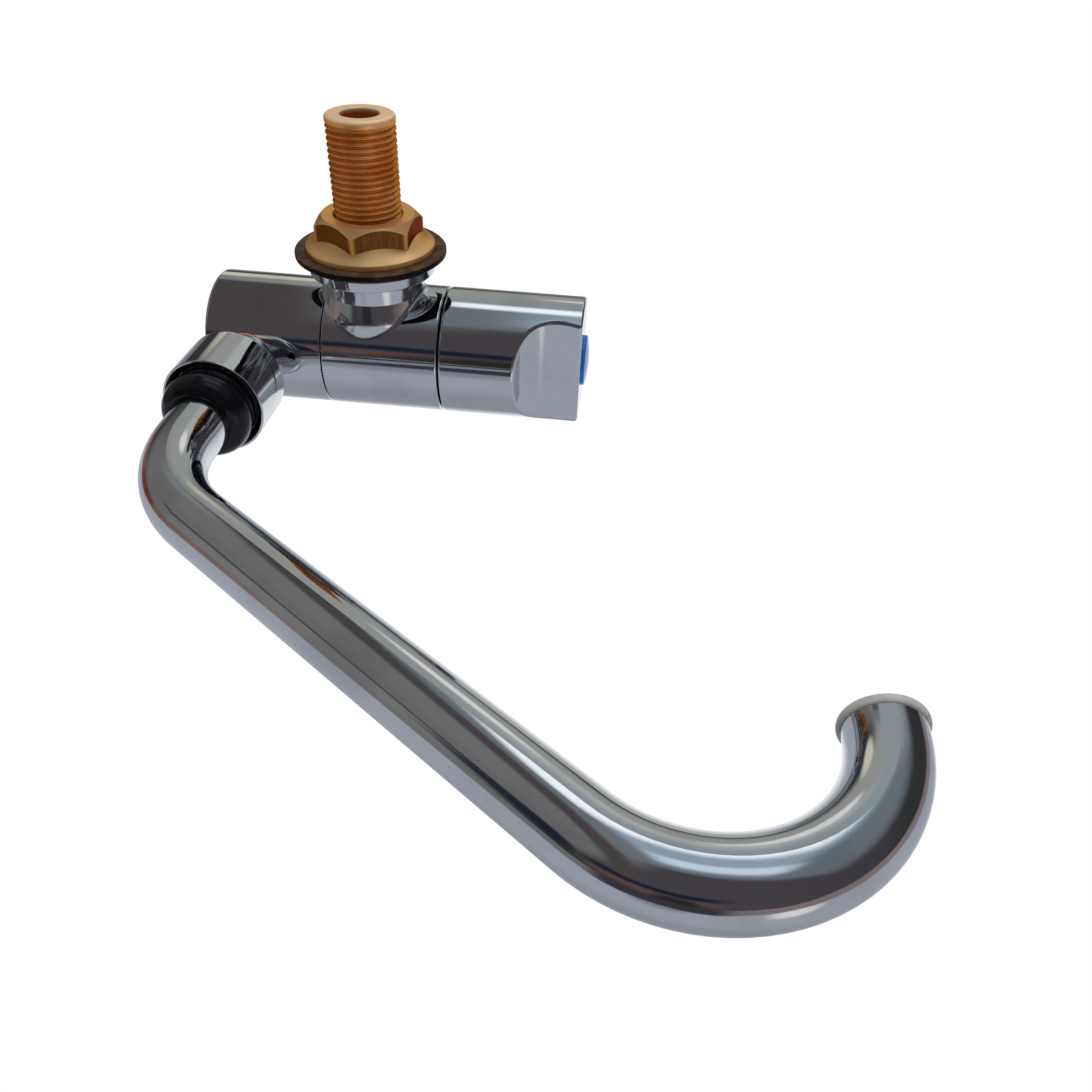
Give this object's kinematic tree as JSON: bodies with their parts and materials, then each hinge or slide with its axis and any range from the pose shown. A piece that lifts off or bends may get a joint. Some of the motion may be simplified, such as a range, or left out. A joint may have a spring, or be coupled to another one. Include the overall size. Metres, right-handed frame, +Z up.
{
  "type": "folding faucet",
  "caption": "Deck-mounted cold-water tap with a side knob and a hooked spout on a head that folds flat, fixed by a threaded shank, gasket and nut.",
  "frame": {"origin": "centre of the base's underside, where it rests on the deck, on the shank's axis", "axes": "+Z up along the shank's axis, X along the valve body with the knob at -X and the folding head at +X; at rest the spout is folded level and runs towards -Y"},
  "size_m": [0.2086, 0.2228, 0.0947],
  "materials": {
    "chrome": "polished chrome plate over brass",
    "brass": "machined brass, left bare",
    "gasket_rubber": "moulded black rubber, matt",
    "seal_rubber": "black O-ring rubber, slightly shiny",
    "bead_rubber": "smooth black rubber",
    "black_plastic": "black acetal, turned",
    "bearing_plastic": "white acetal bearing rings",
    "fibre": "red sealing fibre",
    "ceramic": "lapped white ceramic",
    "blue_plastic": "glossy blue moulded plastic",
    "grey_plastic": "warm grey moulded plastic",
    "steel": "plain stainless steel"
  },
  "bodies": {
    "base": {"valve_body": "chrome", "inlet_shank": "brass", "base_o_ring": "seal_rubber", "cartridge_body": "brass", "cartridge_face_o_ring": "seal_rubber", "cartridge_seat_seal": "seal_rubber", "ceramic_disc_lower": "ceramic", "head_spindle": "brass", "spindle_o_rings": "seal_rubber", "thrust_washer": "bearing_plastic", "retaining_nut": "brass", "head_bearing_ring": "bearing_plastic", "fold_stop_pin": "steel"},
    "gasket": {"deck_gasket": "gasket_rubber"},
    "nut": {"mounting_nut": "brass"},
    "knob": {"knob": "chrome", "knob_screw": "steel", "knob_cap": "blue_plastic", "cartridge_stem": "brass", "stem_o_ring": "seal_rubber", "stem_clip": "steel", "ceramic_disc_upper": "ceramic"},
    "head": {"spout_head": "chrome", "head_end_cap": "chrome", "end_cap_o_ring": "seal_rubber", "spout_socket": "chrome", "socket_washer": "fibre", "gland_ring": "black_plastic"},
    "spout": {"spout_pipe": "chrome", "pipe_ferrule": "brass", "ferrule_o_rings": "seal_rubber", "spout_thrust_ring": "bearing_plastic", "spout_bead": "bead_rubber", "outlet_insert": "grey_plastic"}
  },
  "joints": [
    {"name": "knob_turn", "type": "hinge", "parent": "base", "child": "knob", "pos_m": [-0.05, 0, 0.03075], "axis": [-1, 0, 0], "range_deg": [0, 90]},
    {"name": "head_fold", "type": "hinge", "parent": "base", "child": "head", "pos_m": [0.033, 0, 0.03075], "axis": [-1, 0, 0], "range_deg": [0, 90]},
    {"name": "spout_swivel", "type": "hinge", "parent": "head", "child": "spout", "pos_m": [0.03915, -0.04, 0.03075], "axis": [0, 1, 0], "continuous": true},
    {"name": "nut_travel", "type": "slide", "parent": "base", "child": "gasket", "axis": [0, 0, -1], "range_m": [0, 0.029]},
    {"name": "nut_turn", "type": "hinge", "parent": "gasket", "child": "nut", "pos_m": [0, 0, -0.009], "axis": [0, 0, -1], "range_deg": [0, 5760]}
  ],
  "couplings": [
    {"joint": "nut_turn", "follows": "nut_travel", "rad_per_m": 3463.2}
  ]
}
